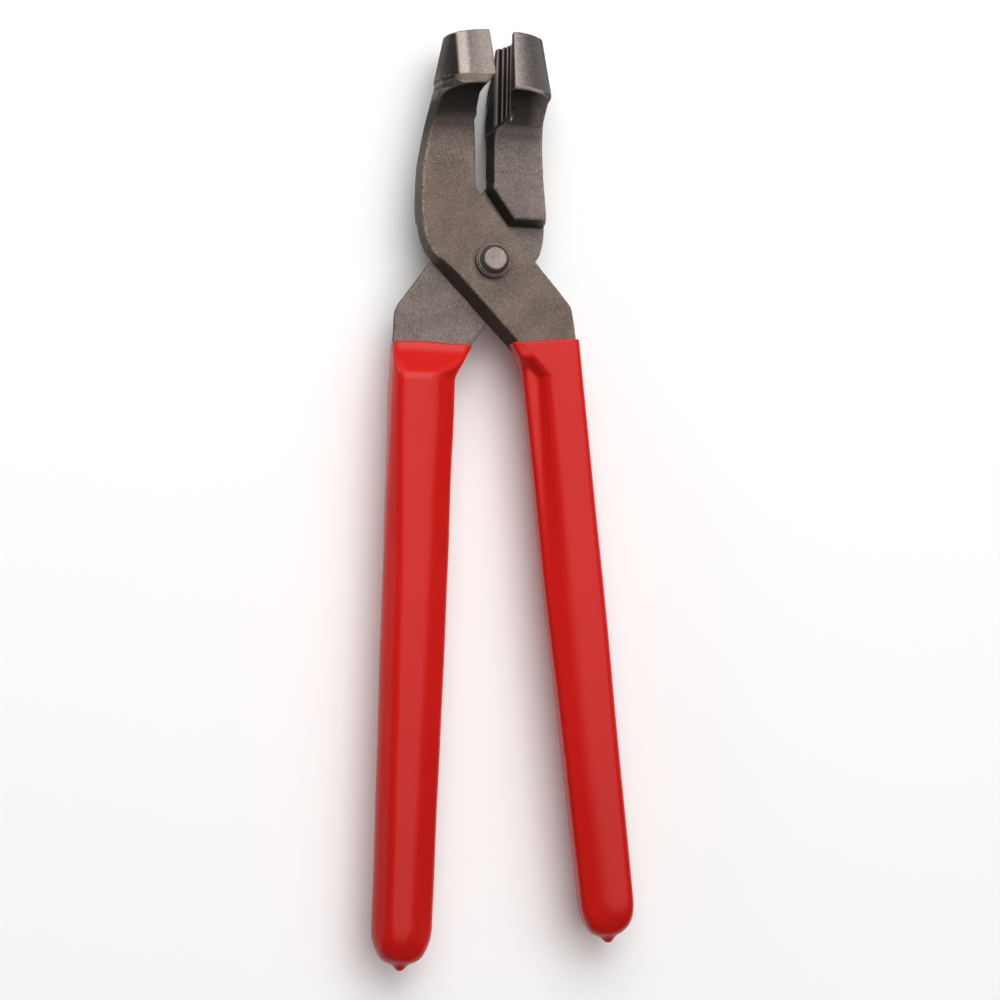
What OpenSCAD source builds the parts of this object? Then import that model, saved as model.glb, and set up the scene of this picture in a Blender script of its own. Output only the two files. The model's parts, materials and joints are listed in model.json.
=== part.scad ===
// Tap nut pliers: two crossed forged arms on one rivet, with dipped grips.
// The arms are drawn closed, with the pivot axis on Z, the jaws towards +Y
// and the joint's split plane at z = 0. They are then swung apart and the
// whole tool is set down with the middle of its underside on the origin.

/* [Pose] */
// Angle between the jaws, measured from closed
jaw_angle = 6; // [0.5:0.5:20]

/* [Joint] */
// Thickness of each half of the lapped joint
lap_t = 6; // [5:0.5:7]
// Play between the two halves, and under the rivet head
lap_play = 0.05; // [0.02:0.01:0.1]
// Gap between each shoulder and the other arm when the jaws are closed
shoulder_gap = 0.7; // [0.4:0.1:1]
// Diameter of the rivet's shank
rivet_d = 8; // [6:0.5:9]
// Radial clearance of the rivet in the front arm
rivet_play = 0.05; // [0.02:0.01:0.1]
// Diameter of the rivet head where it meets the front arm
rivet_head_d = 10; // [9.6:0.2:12]
// Height of the rivet head
rivet_head_h = 4; // [3:0.5:5]
// Diameter of the flat top of the rivet head
rivet_top_d = 6.8; // [5:0.2:8]
// Height of the hammered tail on the other side
rivet_tail_h = 2.4; // [1.5:0.1:3]

/* [Heads] */
// Distance from the pivot to the top of the heads
head_top_y = 68.6; // [64:0.2:72]
// Sideways offset of the heads' common axis from the pivot
head_x = 3.8; // [3:0.1:4.5]
// Radius of the heads' common cone at the top
head_top_r = 11.3; // [10.5:0.1:12]
// Radius of the front arm's head at its base
front_base_r = 15.6; // [14:0.1:16.5]
// Distance from the pivot to the base of the front arm's head
front_base_y = 54.6; // [53:0.2:56]
// Radius of the back arm's head at its base
back_base_r = 14.4; // [13:0.1:16]
// Distance from the pivot to the base of the back arm's head
back_base_y = 50.8; // [50:0.2:54]
// Gap between the heads when the jaws are closed
closed_gap = 0.2; // [0.1:0.1:0.6]

/* [Serrations] */
// Radius of the hollow that the teeth lie on
hollow_r = 16; // [14:0.5:20]
// Depth of the hollow below the parting face
hollow_depth = 2.4; // [1.8:0.1:2.8]
// Number of grooves across the hollow
groove_count = 8; // [5:1:10]
// Depth of each groove
groove_depth = 1.2; // [0.6:0.1:1.4]
// Distance from the pivot to the lower end of the grooves
groove_floor_y = 44.2; // [43:0.2:46]

/* [Grips] */
// Thickness of the dipped coating
coat_t = 1.3; // [1:0.1:1.6]
// Distance from the pivot to the upper edge of the coating
dip_y = 24.7; // [24:0.1:26]
// Width of the left grip, on the back arm
left_grip_w = 19.4; // [18:0.1:21]
// Width of the right grip, on the front arm
right_grip_w = 17.8; // [17:0.1:20]
// Distance from the pivot to the end of the left grip
left_grip_end = 208.8; // [190:0.2:215]
// Distance from the pivot to the end of the right grip
right_grip_end = 203.8; // [190:0.2:215]
// Diameter of the drip left at the end of each grip
drip_d = 3.2; // [2:0.1:4]

/* [Hidden] */
$fn = 96;

steel = [0.40, 0.37, 0.35];
red_vinyl = [0.78, 0.11, 0.09];

// Handles: each leans outwards, and its axis meets the pivot's level here
handle_lean = 1;
left_handle_x = -18.9;
right_handle_x = 15.4;
// Narrowing of each grip from its full width to its end, on each side
grip_taper = 1.3;
taper_start_y = 90;
taper_end_y = 196;
// Where the necks start to thicken below the joint, and where they are full
neck_start_y = dip_y + 1.3;
neck_full_y = dip_y + 10.3;
// Bevels of the handle's section, and the upright land between them
outer_bevel = 3.6;
inner_bevel = 6.6;
side_land = 5;
grip_half_t = lap_t + coat_t;
// How far in from the neck's inner edge its bevel starts, at the coating's edge
neck_bevel = 2.8;
// Draft of the forged walls: outer sides, and the long edge beside the neck
side_draft = tan(9.5);
neck_draft = tan(18);

// Head: chamfer of the top rim, bevel under the base, fillet to the arm
rim_chamfer = 0.6;
base_bevel_r = 1.2;
base_bevel_h = 2.2;
fillet_drop = 6.5;
lip_half_w = 9;
beyond = 40;

// Shoulder of each arm, where it steps down to the joint's half thickness
shoulder_y = 12.4;

function unit(v) = v / norm(v);

// Turn from one angle to another, the short way round
function short_turn(a) = a > 180 ? a - 360 : a < -180 ? a + 360 : a;

// Arc of radius r that rounds the corner b between its neighbours a and c
function corner_arc(a, b, c, r, steps = 10) =
    let (
        u = unit(a - b),
        v = unit(c - b),
        half = acos(u * v) / 2,
        centre = b + unit(u + v) * r / sin(half),
        p = b + u * r / tan(half) - centre,
        q = b + v * r / tan(half) - centre,
        start = atan2(p.y, p.x),
        turn = short_turn(atan2(q.y, q.x) - start)
    )
    [for (i = [0:steps]) centre + r * [cos(start + turn * i / steps), sin(start + turn * i / steps)]];

function place(corner) = [corner[0], corner[1]];

// Outline from corners [x, y, radius], each rounded by its own radius
function rounded(corners) =
    let (n = len(corners))
    [for (i = [0:n - 1])
        each corners[i][2] == 0
            ? [place(corners[i])]
            : corner_arc(place(corners[(i + n - 1) % n]), place(corners[i]),
                place(corners[(i + 1) % n]), corners[i][2])];

// Place on a handle: side is 1 for the right handle and -1 for the left,
// u runs outwards from the handle's axis and down is the distance from the pivot
function on_handle(side, u, down) =
    [(side > 0 ? right_handle_x : left_handle_x) + side * (down * tan(handle_lean) + u), -down];

function handle_corner(side, u, down, r = 0) = concat(on_handle(side, u, down), [r]);

// Plan of the front arm's forging, closed, from its parting face round the
// handle and back up its outer side
function front_plan() = let (half_w = right_grip_w / 2 - coat_t) concat(
    [
        [-2.2, 58, 0],
        [-2.2, 45, 0],
        [-3.4, 22.5, 4],
        [23.4, -15.2, 5]
    ],
    core_corners(1, half_w, right_grip_end - coat_t),
    [
        concat(on_handle(1, -half_w, 31.5), [6]),
        [-20.9, 6.0, 8],
        [-21.1, 20, 26],
        [-12.4, 53.5, 0],
        [-9, 58, 0]
    ]
);

// Plan of the back arm's forging, closed, drawn the same way round
function back_plan() = let (half_w = left_grip_w / 2 - coat_t) concat(
    [
        [4.4, 58, 0],
        [4.4, 46.4, 0],
        [-0.8, 40.2, 3],
        [-0.6, 22.7, 3],
        [-28.4, -15.1, 7]
    ],
    core_corners(-1, half_w, left_grip_end - coat_t),
    [
        concat(on_handle(-1, -half_w, 33.6), [6]),
        [15.8, 5.0, 4],
        [17.0, 11, 14],
        [15.0, 33, 26],
        [15.6, 44, 10],
        [17.6, 52, 0],
        [15, 58, 0]
    ]
);

// Corners of a grip's core or of its skin, from the outer side round the end
function core_corners(side, half_w, end) = let (end_w = half_w - grip_taper) [
    handle_corner(side, half_w, neck_full_y + 5),
    handle_corner(side, half_w, taper_start_y),
    handle_corner(side, end_w, taper_end_y),
    handle_corner(side, end_w, end, end_w - 0.1),
    handle_corner(side, -end_w, end, end_w - 0.1),
    handle_corner(side, -end_w, taper_end_y),
    handle_corner(side, -half_w, taper_start_y)
];

// Solid between z = -half_t and half_t over a plan
module slab(half_t) {
    translate([0, 0, -half_t])
        linear_extrude(2 * half_t)
            children();
}

// Prism along X from a side view given as [y, z] points
module side_prism(points) {
    translate([-3 * beyond, 0, 0])
        rotate([90, 0, 90])
            linear_extrude(6 * beyond)
                polygon(points);
}

// Everything under two slopes, front and back, that meet at z = 0 over the
// line from p to q and run lean mm to its right for each mm of height
module under_slopes(p, q, lean) {
    top = 3 * lap_t;
    away = -sign(lean) * 4 * beyond;
    translate([p.x, p.y, 0])
        rotate([0, 0, atan2(q.y - p.y, q.x - p.x)])
            translate([-4 * beyond, 0, 0])
                rotate([90, 0, 90])
                    linear_extrude(9 * beyond)
                        polygon([[0, 0], [-lean * top, top], [away, top], [away, -top], [-lean * top, -top]]);
}

// Bevels whose folds run from p to q on the faces, at half_t, and that come
// down to the upright land at foot
module under_bevels(p, q, foot, half_t) {
    along = unit(q - p);
    left = [-along.y, along.x];
    run = (foot - p) * left * half_t / (half_t - side_land / 2);
    under_slopes(p + left * run, q + left * run, run / half_t);
}

// The handle's four bevels, which spread out and fade on the neck
module handle_bevels(side, half_w, half_t, neck_u) {
    outer_fold = half_w - outer_bevel * half_t / grip_half_t;
    inner_fold = -half_w + inner_bevel * half_t / grip_half_t;
    outer_foot = on_handle(side, half_w, neck_full_y);
    inner_foot = on_handle(side, -half_w, neck_full_y);
    intersection() {
        translate([-3 * beyond, -6 * beyond, -beyond]) cube([6 * beyond, 6 * beyond - neck_full_y, 2 * beyond]);
        under_bevels(on_handle(side, outer_fold, neck_full_y), on_handle(side, outer_fold, 200), outer_foot, half_t);
        under_bevels(on_handle(side, inner_fold, neck_full_y), on_handle(side, inner_fold, 200), inner_foot, half_t);
    }
    intersection() {
        translate([-3 * beyond, -neck_full_y, -beyond]) cube([6 * beyond, neck_full_y - dip_y, 2 * beyond]);
        under_bevels(on_handle(side, outer_fold, neck_full_y), on_handle(side, half_w, dip_y), outer_foot, half_t);
        under_bevels(on_handle(side, inner_fold, neck_full_y), on_handle(side, neck_u, dip_y), inner_foot, half_t);
    }
}

// Side view of the joint's half and the handle, with the joint's half in front
function half_lap_side(half_t, skin, end) = [
    [beyond, half_t],
    [beyond, lap_play / 2 - skin],
    [-neck_start_y, lap_play / 2 - skin],
    [-neck_full_y, -half_t],
    [-end, -half_t],
    [-end, half_t]
];

// The cone that both heads are halves of, with the bevel under its base
module head_cone(base_r, base_y) {
    rotate([-90, 0, 0])
        rotate_extrude()
            polygon([
                [0, base_y - base_bevel_h],
                [base_r - base_bevel_r, base_y - base_bevel_h],
                [base_r, base_y],
                [head_top_r, head_top_y - rim_chamfer],
                [head_top_r - rim_chamfer, head_top_y],
                [0, head_top_y]
            ]);
}

// Hollow fillet that carries the head down to the faces of the arm
module head_fillet(base_r, base_y) {
    start_r = base_r - base_bevel_r;
    start_y = base_y - base_bevel_h;
    run = start_r - lap_t;
    rotate([-90, 0, 0])
        rotate_extrude()
            polygon(concat(
                [[0, start_y + 1], [start_r, start_y + 1]],
                [for (i = [0:8]) [start_r - run * sin(90 * i / 8), start_y - fillet_drop * (1 - cos(90 * i / 8))]],
                [[0, start_y - fillet_drop]]
            ));
}

// Box from x = x0 towards side, used to halve the heads
module half_space(x0, side) {
    translate([side > 0 ? x0 : x0 - beyond, 0, -beyond])
        cube([beyond, 3 * beyond, 2 * beyond]);
}

// Serrated hollow, as the shape it cuts away, for the head on the given side
module serration_cut(side) {
    span = asin(lip_half_w / hollow_r);
    steps = 2 * groove_count;
    deep_x = head_x + side * hollow_depth;
    centre_x = deep_x - side * hollow_r;
    function ridge(i) = let (
        a = -span + 2 * span * i / steps,
        r = hollow_r + (i % 2 == 1 ? groove_depth : 0)
    ) [centre_x + side * r * cos(a), r * sin(a)];
    translate([0, head_top_y + 1, 0])
        rotate([90, 0, 0])
            linear_extrude(head_top_y + 1 - groove_floor_y)
                polygon(concat(
                    [[centre_x, -lip_half_w]],
                    [for (i = [0:steps]) ridge(i)],
                    [[centre_x, lip_half_w]]
                ));
}

// One forging, closed, with its half of the joint in front. drafts lists the
// straight edges of the plan whose walls slope, as [from, to, lean].
module forging(side, plan, drafts, shoulder, base_r, base_y, end, half_w, neck_u, fillet_from) {
    head_side = -side;
    difference() {
        union() {
            intersection() {
                slab(lap_t) polygon(plan);
                union() {
                    side_prism(half_lap_side(lap_t, 0, end));
                    slab(beyond) polygon(shoulder);
                }
                union() {
                    handle_bevels(side, half_w, lap_t, neck_u);
                    intersection() {
                        translate([-3 * beyond, -dip_y, -beyond]) cube([6 * beyond, 4 * beyond, 2 * beyond]);
                        intersection_for(d = drafts) under_slopes(d[0], d[1], d[2]);
                    }
                }
            }
            translate([head_x, 0, 0])
                intersection() {
                    head_cone(base_r, base_y);
                    half_space(head_side * closed_gap / 2, head_side);
                }
            intersection() {
                translate([head_x, 0, 0]) head_fillet(base_r, base_y);
                half_space(fillet_from, head_side);
            }
        }
        serration_cut(head_side);
    }
}

// Area of the upper front arm that keeps its full thickness
function front_shoulder() = [
    [-2.6 + shoulder_gap * 0.4, 21.2 + shoulder_gap * 0.6],
    [-9.1, shoulder_y],
    [-beyond, shoulder_y + 0.4],
    [-beyond, 58],
    [beyond, 58],
    [beyond, 21.2 + shoulder_gap * 0.6]
];

// Area of the upper back arm that keeps its full thickness
function back_shoulder() = [
    [-1.6, 22.5],
    [6.0, shoulder_y - 0.2],
    [beyond, shoulder_y + 0.2],
    [beyond, 58],
    [-beyond, 58],
    [-beyond, 22.5]
];

// Distance of each neck's inner edge from its handle's axis, at the coating
front_neck_u = -13.2;
back_neck_u = -14.9;

module front_arm_closed() {
    half_w = right_grip_w / 2 - coat_t;
    plan = front_plan();
    drafts = [
        [place(plan[11]), place(plan[12]), neck_draft],
        [place(plan[12]), place(plan[13]), side_draft],
        [place(plan[13]), place(plan[14]), side_draft]
    ];
    difference() {
        forging(1, rounded(plan), drafts, front_shoulder(), front_base_r, front_base_y,
            right_grip_end - coat_t, half_w, front_neck_u + neck_bevel, -2.2);
        cylinder(h = 2 * beyond, d = rivet_d + 2 * rivet_play, center = true);
    }
}

module back_arm_closed() {
    half_w = left_grip_w / 2 - coat_t;
    plan = back_plan();
    drafts = [
        [place(plan[12]), place(plan[13]), -neck_draft],
        [place(plan[13]), place(plan[14]), -side_draft]
    ];
    difference() {
        mirror([0, 0, 1])
            forging(-1, rounded(plan), drafts, back_shoulder(), back_base_r, back_base_y,
                left_grip_end - coat_t, half_w, back_neck_u + neck_bevel, head_x);
        cylinder(h = 2 * beyond, d = rivet_d, center = true);
    }
}

// Skin of a grip before its core is taken out, with the joint's half in front
module grip_form(side, width, end, neck, neck_u) {
    half_w = width / 2;
    intersection() {
        slab(grip_half_t) polygon(rounded(concat(neck, core_corners(side, half_w, end))));
        side_prism(half_lap_side(grip_half_t, coat_t, end));
        handle_bevels(side, half_w, grip_half_t, neck_u);
    }
}

module drip(side, end) {
    translate(concat(on_handle(side, 0, end - drip_d / 4), [0]))
        sphere(d = drip_d, $fn = 32);
}

module left_grip_closed() {
    half_w = left_grip_w / 2;
    neck = [
        [on_handle(-1, -half_w, 33.6).x, -34.5, 7],
        [-3.9, -dip_y, 0],
        [-29.6, -dip_y, 0]
    ];
    difference() {
        union() {
            mirror([0, 0, 1]) grip_form(-1, left_grip_w, left_grip_end, neck, back_neck_u + neck_bevel);
            drip(-1, left_grip_end);
        }
        back_arm_closed();
    }
}

module right_grip_closed() {
    half_w = right_grip_w / 2;
    neck = [
        [on_handle(1, -half_w, 31.5).x, -33.0, 7],
        [2.7, -dip_y, 0],
        [25.1, -dip_y, 0]
    ];
    difference() {
        union() {
            grip_form(1, right_grip_w, right_grip_end, neck, front_neck_u + neck_bevel);
            drip(1, right_grip_end);
        }
        front_arm_closed();
    }
}

// Swings a piece of the front arm (1) or the back arm (-1) from closed to its
// place, and moves the tool so that its underside's middle is at the origin
function turned(p, a) = [p.x * cos(a) - p.y * sin(a), p.x * sin(a) + p.y * cos(a)];

left_end = turned(on_handle(-1, 0, left_grip_end - left_grip_w / 2 + grip_taper), -jaw_angle / 2);
right_end = turned(on_handle(1, 0, right_grip_end - right_grip_w / 2 + grip_taper), jaw_angle / 2);
left_drip = turned(on_handle(-1, 0, left_grip_end - drip_d / 4), -jaw_angle / 2);
top_corner = turned([head_x - closed_gap / 2, head_top_y], jaw_angle / 2);
x_low = left_end.x - left_grip_w / 2 + grip_taper;
x_high = right_end.x + right_grip_w / 2 - grip_taper;
y_low = left_drip.y - drip_d / 2;
base_z = max(front_base_r, back_base_r);
pivot = [-(x_low + x_high) / 2, -(y_low + top_corner.y) / 2, base_z];

module swung(side) {
    translate(pivot)
        rotate([0, 0, side * jaw_angle / 2])
            children();
}

module front_arm() {
    color(steel) swung(1) front_arm_closed();
}

module back_arm() {
    color(steel) swung(-1) back_arm_closed();
}

module left_grip() {
    color(red_vinyl) swung(-1) left_grip_closed();
}

module right_grip() {
    color(red_vinyl) swung(1) right_grip_closed();
}

// Head in front, shank through both arms, hammered tail behind
module rivet() {
    head_z = lap_t + lap_play;
    rim_h = 0.45 * rivet_head_h;
    color(steel)
        translate(pivot)
            rotate_extrude()
                polygon([
                    [0, head_z + rivet_head_h],
                    [rivet_top_d / 2, head_z + rivet_head_h],
                    [rivet_head_d / 2, head_z + rim_h],
                    [rivet_head_d / 2, head_z],
                    [rivet_d / 2, head_z],
                    [rivet_d / 2, -lap_t],
                    [rivet_head_d / 2 + 0.8, -lap_t],
                    [rivet_head_d / 2, -lap_t - 0.6 * rivet_tail_h],
                    [rivet_d / 2 - 1, -lap_t - rivet_tail_h],
                    [0, -lap_t - rivet_tail_h]
                ]);
}

front_arm();
back_arm();
rivet();
left_grip();
right_grip();
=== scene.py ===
import json
import math

import bpy
import bmesh
import numpy as np
import openvdb
from mathutils import Matrix, Vector


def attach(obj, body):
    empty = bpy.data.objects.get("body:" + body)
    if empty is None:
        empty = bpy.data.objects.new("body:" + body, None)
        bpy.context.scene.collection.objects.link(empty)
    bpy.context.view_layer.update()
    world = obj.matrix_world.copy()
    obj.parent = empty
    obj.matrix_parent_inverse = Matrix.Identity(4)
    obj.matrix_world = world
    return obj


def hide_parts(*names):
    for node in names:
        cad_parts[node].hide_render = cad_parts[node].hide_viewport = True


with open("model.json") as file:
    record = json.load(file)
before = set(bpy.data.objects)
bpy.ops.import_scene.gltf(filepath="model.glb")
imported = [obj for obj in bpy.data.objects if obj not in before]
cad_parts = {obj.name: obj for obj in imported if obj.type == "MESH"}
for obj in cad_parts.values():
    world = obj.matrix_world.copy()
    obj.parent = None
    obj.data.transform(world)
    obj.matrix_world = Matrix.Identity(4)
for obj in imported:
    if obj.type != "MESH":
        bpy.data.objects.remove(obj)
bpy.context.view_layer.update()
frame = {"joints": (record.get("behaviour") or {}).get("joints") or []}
pivot = Vector(frame["joints"][0]["pos_m"])
mm = 0.001

# Camera: fitted to the photograph, in degrees and metres from the pivot
view = {"left": 13.0, "below": 4.4, "roll": -1.9, "distance": 0.75,
        "aim": (0.00113, -0.07108, 0.0), "lens": 90.6}


def makeCamera(v):
    a, b, q = (math.radians(v[k]) for k in ("left", "below", "roll"))
    back = Vector((-math.sin(a) * math.cos(b), -math.sin(b), math.cos(a) * math.cos(b)))
    right = Vector((0, 1, 0)).cross(back).normalized()
    up = back.cross(right)
    right, up = math.cos(q) * right + math.sin(q) * up, math.cos(q) * up - math.sin(q) * right
    data = bpy.data.cameras.new("camera")
    data.lens = v["lens"]
    data.clip_start = 0.05
    camera = bpy.data.objects.new("camera", data)
    place = Matrix((right, up, back)).transposed().to_4x4()
    place.translation = pivot + Vector(v["aim"]) + back * v["distance"]
    camera.matrix_world = place
    bpy.context.scene.collection.objects.link(camera)
    bpy.context.scene.camera = camera


makeCamera(view)
print("camera placed")


# Signed distances, in mm from the pivot, negative inside

def unit(v):
    return v / np.linalg.norm(v)


def roundCorners(corners, steps=8):
    # corners are (x, y, radius), and each is replaced by an arc of its radius
    out = []
    n = len(corners)
    for i, (x, y, r) in enumerate(corners):
        b = np.array((x, y), float)
        if r == 0:
            out.append(b)
            continue
        u = unit(np.array(corners[i - 1][:2]) - b)
        v = unit(np.array(corners[(i + 1) % n][:2]) - b)
        half = math.acos(float(np.clip(u @ v, -1, 1))) / 2
        centre = b + unit(u + v) * r / math.sin(half)
        p, q = b + u * r / math.tan(half) - centre, b + v * r / math.tan(half) - centre
        start = math.atan2(p[1], p[0])
        turn = (math.atan2(q[1], q[0]) - start + math.pi) % (2 * math.pi) - math.pi
        for k in range(steps + 1):
            t = start + turn * k / steps
            out.append(centre + r * np.array((math.cos(t), math.sin(t))))
    return np.array(out)


def curveThrough(points, steps=5):
    # a smooth curve through the points, for outlines that were forged freehand
    p = np.array(points, float)
    q = np.vstack((2 * p[0] - p[1], p, 2 * p[-1] - p[-2]))
    out = []
    for i in range(len(p) - 1):
        a, b, c, d = q[i:i + 4]
        for k in range(steps):
            t = k / steps
            out.append(0.5 * (2 * b + (c - a) * t + (2 * a - 5 * b + 4 * c - d) * t * t
                              + (3 * b - a - 3 * c + d) * t ** 3))
    out.append(p[-1])
    return out


def pathDistance(points, x, y):
    # distance to an open path
    best = 1e9
    for (ax, ay), (bx, by) in zip(points[:-1], points[1:]):
        ex, ey = bx - ax, by - ay
        t = np.clip(((x - ax) * ex + (y - ay) * ey) / (ex * ex + ey * ey), 0, 1)
        best = np.minimum(best, (x - ax - ex * t) ** 2 + (y - ay - ey * t) ** 2)
    return np.sqrt(best)


def outlineDistance(points, x, y):
    # distance to a closed outline, negative inside it
    best = np.full(np.broadcast(x, y).shape, 1e9)
    inside = np.zeros(best.shape, bool)
    for (ax, ay), (bx, by) in zip(points, np.roll(points, -1, axis=0)):
        ex, ey = bx - ax, by - ay
        if ex * ex + ey * ey < 1e-12:
            continue
        wx, wy = x - ax, y - ay
        t = np.clip((wx * ex + wy * ey) / (ex * ex + ey * ey), 0, 1)
        best = np.minimum(best, (wx - ex * t) ** 2 + (wy - ey * t) ** 2)
        if by != ay:
            inside ^= ((ay > y) != (by > y)) & (x < ax + ex * (y - ay) / ey)
    return np.where(inside, -1, 1) * np.sqrt(best)


def both(a, b, r):
    # what lies in a and in b, with the edge between them rounded by r
    u, v = np.maximum(a + r, 0), np.maximum(b + r, 0)
    return np.minimum(-r, np.maximum(a, b)) + np.sqrt(u * u + v * v)


def either(a, b, r):
    # what lies in a or in b, with a fillet of r between them
    return -both(-a, -b, r)


def lineSide(p, q, x, y):
    # distance to the right of the line from p to q
    ex, ey = q[0] - p[0], q[1] - p[1]
    return ((x - p[0]) * ey - (y - p[1]) * ex) / math.hypot(ex, ey)


def smoothStep(x, low, high):
    t = np.clip((x - low) / (high - low), 0, 1)
    return t * t * (3 - 2 * t)


def softNoise(x, y, z, size, seed):
    # slow unevenness of a forged or dipped surface, about -1 to 1
    rng = np.random.default_rng(seed)
    total = 0
    for k in range(7):
        d = rng.normal(size=3)
        d = d / np.linalg.norm(d) * rng.uniform(0.6, 1.6) * 2 * math.pi / size
        total = total + np.sin(d[0] * x + d[1] * y + d[2] * z + rng.uniform(0, 6.28))
    return total / 3.2


def turnAbout(swing):
    # turns points by swing degrees about the pivot
    a = math.radians(swing)
    return np.array(((math.cos(a), -math.sin(a), 0), (math.sin(a), math.cos(a), 0), (0, 0, 1)))


def cleanUp(mesh, gap):
    # welds points closer than gap, in metres, and turns all faces outwards
    shape = bmesh.new()
    shape.from_mesh(mesh)
    bmesh.ops.remove_doubles(shape, verts=shape.verts, dist=gap)
    bmesh.ops.dissolve_degenerate(shape, dist=1e-6, edges=shape.edges)
    bmesh.ops.recalc_face_normals(shape, faces=shape.faces)
    if shape.calc_volume(signed=True) < 0:
        bmesh.ops.reverse_faces(shape, faces=shape.faces)
    shape.to_mesh(mesh)
    shape.free()


def meshFromQuads(name, points, quads, body, node, swing):
    # points in mm about the pivot with the tool closed; swing is in degrees
    placed = points @ turnAbout(swing).T * mm + np.array(pivot)
    mesh = bpy.data.meshes.new(name)
    mesh.from_pydata(placed.tolist(), [], quads)
    mesh.validate()
    cleanUp(mesh, 1e-6)
    mesh.polygons.foreach_set("use_smooth", [True] * len(mesh.polygons))
    piece = bpy.data.objects.new(name, mesh)
    bpy.context.scene.collection.objects.link(piece)
    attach(piece, body)
    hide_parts(node)
    print(name, "has", len(mesh.polygons), "faces")
    return piece


# The two forgings, in mm, closed. Both carry half of a ground cone whose
# inner side is hollow and serrated, and step down to half thickness at the joint.
# Heads: the cone, the serrated hollow, and how far left the line between the
# heads stands behind, at each height
heads = {"axis": 3.8, "top": 68.6, "tiltChange": (57, 68), "filletInner": 5.5, "core": -4,
         "halfGap": 0.1, "backLeft": ([37, 40, 43.4, 46.4, 49.6, 52.8, 55.9, 62.2, 68.6],
                                      [3.1, 3.44, 3.56, 3.4, 2.9, 2.49, 2.33, 1.04, 0.6]),
         "backFrom": (7.5, 10.5), "frontFrom": (3, 9),
         "hollow": 16.0, "depth": 2.4, "grooves": 8, "groove": 1.25, "halfWidth": 9.0,
         "plainDepth": 0.1, "plainSpan": 1.32, "cutWidth": 12, "cutPast": 6,
         "round": 0.25, "join": 0.5, "grindGap": 0.1, "grindSlope": 3}
# Arms: trimmed strip at the parting line, draft beyond it, and the lapped joint
arms = {"halfThick": 6.0, "play": 0.03, "edge": 0.55, "sideDraft": 0.17, "draftGain": 1.25, "draftScale": 0.985,
        "flash": 1.3, "swell": 0.2, "uneven": 0.05, "unevenSize": 15, "lapFillet": 0.35, "bore": 4.05}
# Throats: the sweep from an arm's faces out to the base of its head
throats = {"round": 0.5, "steepest": 0.985, "flare": 1.5, "flareLength": 1.8, "below": 6, "edge": 0.2,
           "backFrom": (31, 44), "backDeep": (0, 3)}

# Where their finishes start and end, by distance, by height or by angle
edges = {"leftwards": 0.231, "outer": (-3.0, -1.6), "cone": (-0.35, -0.15), "teeth": (-0.5, -0.35), "toothReach": 5,
         "behind": (8.9, 9.5), "endFace": (0.35, 0.1), "turnWidth": 8.7, "turnAngle": 85, "rim": (-0.4, -0.2),
         "rimAngle": (-52, -38), "fadeDown": (-45, -36), "rubbedUp": (49, 52), "rubbed": 1.8}

frontArm = {
    "side": -1, "swing": 3, "lap": 1,
    "outer": [(-18.0, 2.4), (-19.1, 4.3), (-20.0, 7), (-20.6, 10), (-20.85, 13), (-20.8, 17.5), (-20.2, 23.1),
              (-19.35, 29), (-17.25, 36.9), (-15.15, 43.9), (-13.3, 49.2), (-11.8, 54), (-9.6, 62.6), (-7.25, 69.4)],
    "inner": [(-4.6, 69.4, 0), (-1.4, 58, 0), (-1.2, 45.2, 0), (-2.6, 22.6, 3), (23.75, -15.0, 5), (24.2, -24.7, 0),
              (24.2, -33, 0), (8.5, -33, 4), (3.3, -24.9, 0)],
    "neckEdge": ((3.3, -24.9), (-18.0, 2.4)), "neckDraft": 0.33,
    "shoulder": [(-2.3, 21.9), (-9.1, 12.4), (-30, 12.9)], "stepEdge": 0.35,
    "baseR": 15.7, "baseY": 54.9, "topR": 11.65, "bevelDrop": 2.3, "bevelIn": 1.3, "filletDrop": 8.6,
    "baseTilt": (0.9, 0.13), "topTilt": 0.075,
    "throatY": 36.0, "backFull": 0.0, "floor": (44.0, 0.0, 0.0),
    # past the line between the heads, in front and behind
    "innerY": [46, 50, 52.0, 53.2, 54.4], "innerFront": [-5.0, -4.2, -2.8, -1.2, 0],
    "innerBack": [-5.0, -4.0, -2.4, -1.0, 0],
    # the throat is as wide as the head, and follows the outer line left of "wallTo"
    "openThroat": {"right": 7.0, "wallTo": -3, "inside": -5, "from": (43, 46)},
    # outwards, the base of the head runs down into the arm, to this height
    "hem": {"line": ([5.2, 9.3, 11.6, 13.0], [52.9, 51.6, 50.0, 49.2]), "from": (4.6, 9.0), "in": 1.35, "out": 1.2},
    "lip": None,
    # how dark the soot and painted shade under the head are, by height
    "soot": [(31, 0), (34, 0.12), (36.7, 0.28), (39.05, 0.44), (41.4, 0.62), (43.75, 0.78), (44.9, 0.93), (46, 1),
             (52, 1), (53, 0.75)],
    "sootFrom": (30, 31), "sootEdge": 0.0, "strip": 8.4,
}
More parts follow.
